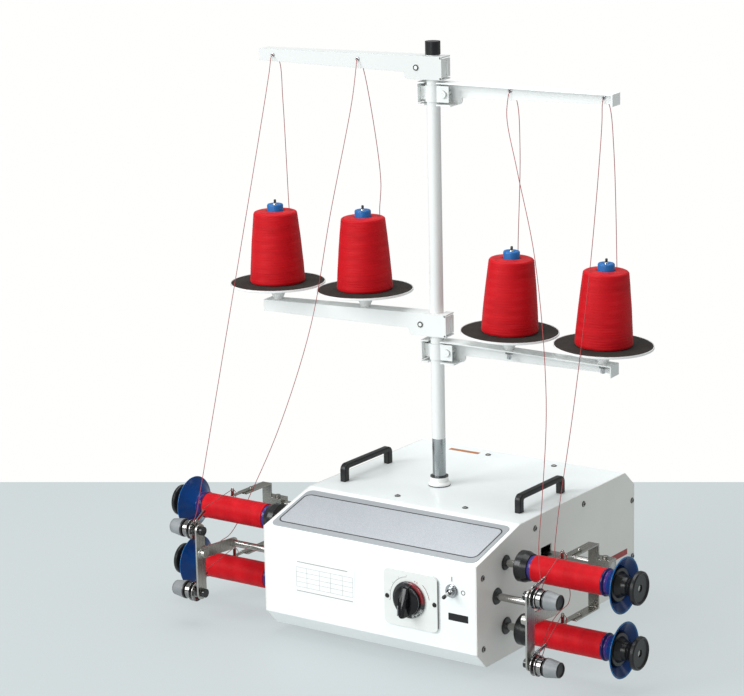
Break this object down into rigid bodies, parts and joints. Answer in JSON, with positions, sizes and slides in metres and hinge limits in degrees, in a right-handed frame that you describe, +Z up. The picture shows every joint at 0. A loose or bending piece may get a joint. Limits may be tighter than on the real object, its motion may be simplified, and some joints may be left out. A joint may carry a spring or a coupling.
{
  "type": "yarn cone winder",
  "caption": "Bench-top thread rewinder: sheet-metal casing with two through spindles, traverse rod, thread tensioners, and a tall mast whose swinging arms carry thread cones on round trays.",
  "frame": {"origin": "middle of the bounding box seen from above, at the bottom of the rubber feet", "axes": "+Z up along the mast, -Y toward the user at the front face, +X to the user's right"},
  "size_m": [0.6104, 0.3648, 0.651],
  "materials": {
    "casing_paint": "semi-gloss white powder coat",
    "arm_paint": "semi-gloss white powder coat",
    "tray_white": "moulded white plastic",
    "plate_silver": "speckled silver foil",
    "plate_cream": "glossy pale plate",
    "chrome_bright": "bright plating",
    "steel_plain": "fine brushed",
    "black_plastic": "fine texture",
    "black_rubber": "moulded",
    "foot_navy": "glossy moulded",
    "tube_blue": "semi-gloss moulded",
    "thread_red": "wound sewing thread",
    "pad_foam": "open-cell foam",
    "knob_grey": "satin",
    "motor_dark": "satin",
    "board_green": "coated laminate"
  },
  "bodies": {
    "base": {"base_pan": "casing_paint", "casing_cover": "casing_paint", "side_panel_left": "casing_paint", "side_panel_right": "casing_paint", "nameplate": "plate_silver", "dial_plate": "plate_cream", "toggle_switch": "chrome_bright", "carry_handles": "black_plastic", "rubber_feet": "black_rubber", "casing_screws": "steel_plain", "power_inlet": "black_plastic", "control_board": "board_green", "motor_body": "motor_dark", "drive_belts": "black_rubber", "bearings": "steel_plain", "mast_collar": "casing_paint", "mast_post": "chrome_bright", "mast_tube": "casing_paint", "mast_cap": "black_plastic", "tension_rod": "chrome_bright", "tension_brackets": "steel_plain", "tension_discs": "chrome_bright", "running_threads": "thread_red"},
    "upper_spindle": {"upper_shaft": "chrome_bright", "upper_spool_holders": "black_plastic", "upper_spool_tubes": "foot_navy", "upper_packages": "thread_red"},
    "lower_spindle": {"lower_shaft": "chrome_bright", "lower_spool_holders": "black_plastic", "lower_spool_tubes": "foot_navy", "lower_packages": "thread_red"},
    "rotor": {"motor_rotor": "steel_plain"},
    "cam": {"cam_drum": "steel_plain"},
    "traverse": {"traverse_rod": "chrome_bright", "traverse_brackets": "steel_plain", "traverse_fingers": "steel_plain"},
    "knob_upper_left": {"tension_knob_upper_left": "knob_grey"},
    "knob_upper_right": {"tension_knob_upper_right": "knob_grey"},
    "knob_lower_left": {"tension_knob_lower_left": "knob_grey"},
    "knob_lower_right": {"tension_knob_lower_right": "knob_grey"},
    "speed_dial": {"speed_knob": "black_plastic"},
    "lever": {"toggle_lever": "chrome_bright"},
    "tray_arm_left": {"lower_arm_left": "arm_paint", "lower_clamp_left": "arm_paint", "trays_left": "tray_white", "pads_left": "pad_foam", "cone_posts_left": "tube_blue", "cones_left": "thread_red"},
    "thread_arm_left": {"upper_arm_left": "arm_paint", "upper_clamp_left": "arm_paint", "supply_threads_left": "thread_red"},
    "tray_arm_right": {"lower_arm_right": "arm_paint", "lower_clamp_right": "arm_paint", "trays_right": "tray_white", "pads_right": "pad_foam", "cone_posts_right": "tube_blue", "cones_right": "thread_red"},
    "thread_arm_right": {"upper_arm_right": "arm_paint", "upper_clamp_right": "arm_paint", "supply_threads_right": "thread_red"}
  },
  "joints": [
    {"name": "upper_spindle_spin", "type": "hinge", "parent": "base", "child": "upper_spindle", "pos_m": [0, -0.0956, 0.1155], "axis": [1, 0, 0], "continuous": true},
    {"name": "lower_spindle_spin", "type": "hinge", "parent": "base", "child": "lower_spindle", "pos_m": [0, -0.0956, 0.0445], "axis": [1, 0, 0], "continuous": true},
    {"name": "rotor_spin", "type": "hinge", "parent": "base", "child": "rotor", "pos_m": [0, 0.0909, 0.055], "axis": [1, 0, 0], "continuous": true},
    {"name": "cam_spin", "type": "hinge", "parent": "base", "child": "cam", "pos_m": [0, 0.0369, 0.07], "axis": [1, 0, 0], "continuous": true},
    {"name": "traverse_slide", "type": "slide", "parent": "base", "child": "traverse", "axis": [1, 0, 0], "range_m": [-0.017, 0.058], "deforming": ["running_threads"]},
    {"name": "knob_upper_left_turn", "type": "hinge", "parent": "base", "child": "knob_upper_left", "pos_m": [-0.245, -0.1711, 0.113], "axis": [1, 0, 0], "range_deg": [-180, 180]},
    {"name": "knob_lower_left_turn", "type": "hinge", "parent": "base", "child": "knob_lower_left", "pos_m": [-0.245, -0.1711, 0.04], "axis": [1, 0, 0], "range_deg": [-180, 180]},
    {"name": "knob_upper_right_turn", "type": "hinge", "parent": "base", "child": "knob_upper_right", "pos_m": [0.245, -0.1711, 0.113], "axis": [1, 0, 0], "range_deg": [-180, 180]},
    {"name": "knob_lower_right_turn", "type": "hinge", "parent": "base", "child": "knob_lower_right", "pos_m": [0.245, -0.1711, 0.04], "axis": [1, 0, 0], "range_deg": [-180, 180]},
    {"name": "speed_dial_turn", "type": "hinge", "parent": "base", "child": "speed_dial", "pos_m": [0.056, -0.15585, 0.0765], "axis": [0, 1, 0], "range_deg": [0, 270]},
    {"name": "lever_throw", "type": "hinge", "parent": "base", "child": "lever", "pos_m": [0.109, -0.1562, 0.095], "axis": [1, 0, 0], "range_deg": [-24, 0]},
    {"name": "tray_arm_left_swing", "type": "hinge", "parent": "base", "child": "tray_arm_left", "pos_m": [-0.016, 0.0129, 0.34], "axis": [0, 0, 1], "range_deg": [-20, 20]},
    {"name": "thread_arm_left_swing", "type": "hinge", "parent": "base", "child": "thread_arm_left", "pos_m": [-0.016, 0.0129, 0.62], "axis": [0, 0, 1], "range_deg": [-20, 20], "deforming": ["running_threads"]},
    {"name": "tray_arm_right_swing", "type": "hinge", "parent": "base", "child": "tray_arm_right", "pos_m": [-0.016, 0.0129, 0.34], "axis": [0, 0, 1], "range_deg": [-20, 20]},
    {"name": "thread_arm_right_swing", "type": "hinge", "parent": "base", "child": "thread_arm_right", "pos_m": [-0.016, 0.0129, 0.62], "axis": [0, 0, 1], "range_deg": [-20, 20], "deforming": ["running_threads"]}
  ],
  "couplings": [
    {"joint": "upper_spindle_spin", "follows": "lower_spindle_spin", "ratio": 1},
    {"joint": "rotor_spin", "follows": "lower_spindle_spin", "ratio": 1.6667},
    {"joint": "cam_spin", "follows": "lower_spindle_spin", "ratio": 0.5},
    {"joint": "thread_arm_left_swing", "follows": "tray_arm_left_swing", "ratio": 1},
    {"joint": "thread_arm_right_swing", "follows": "tray_arm_right_swing", "ratio": 1}
  ]
}
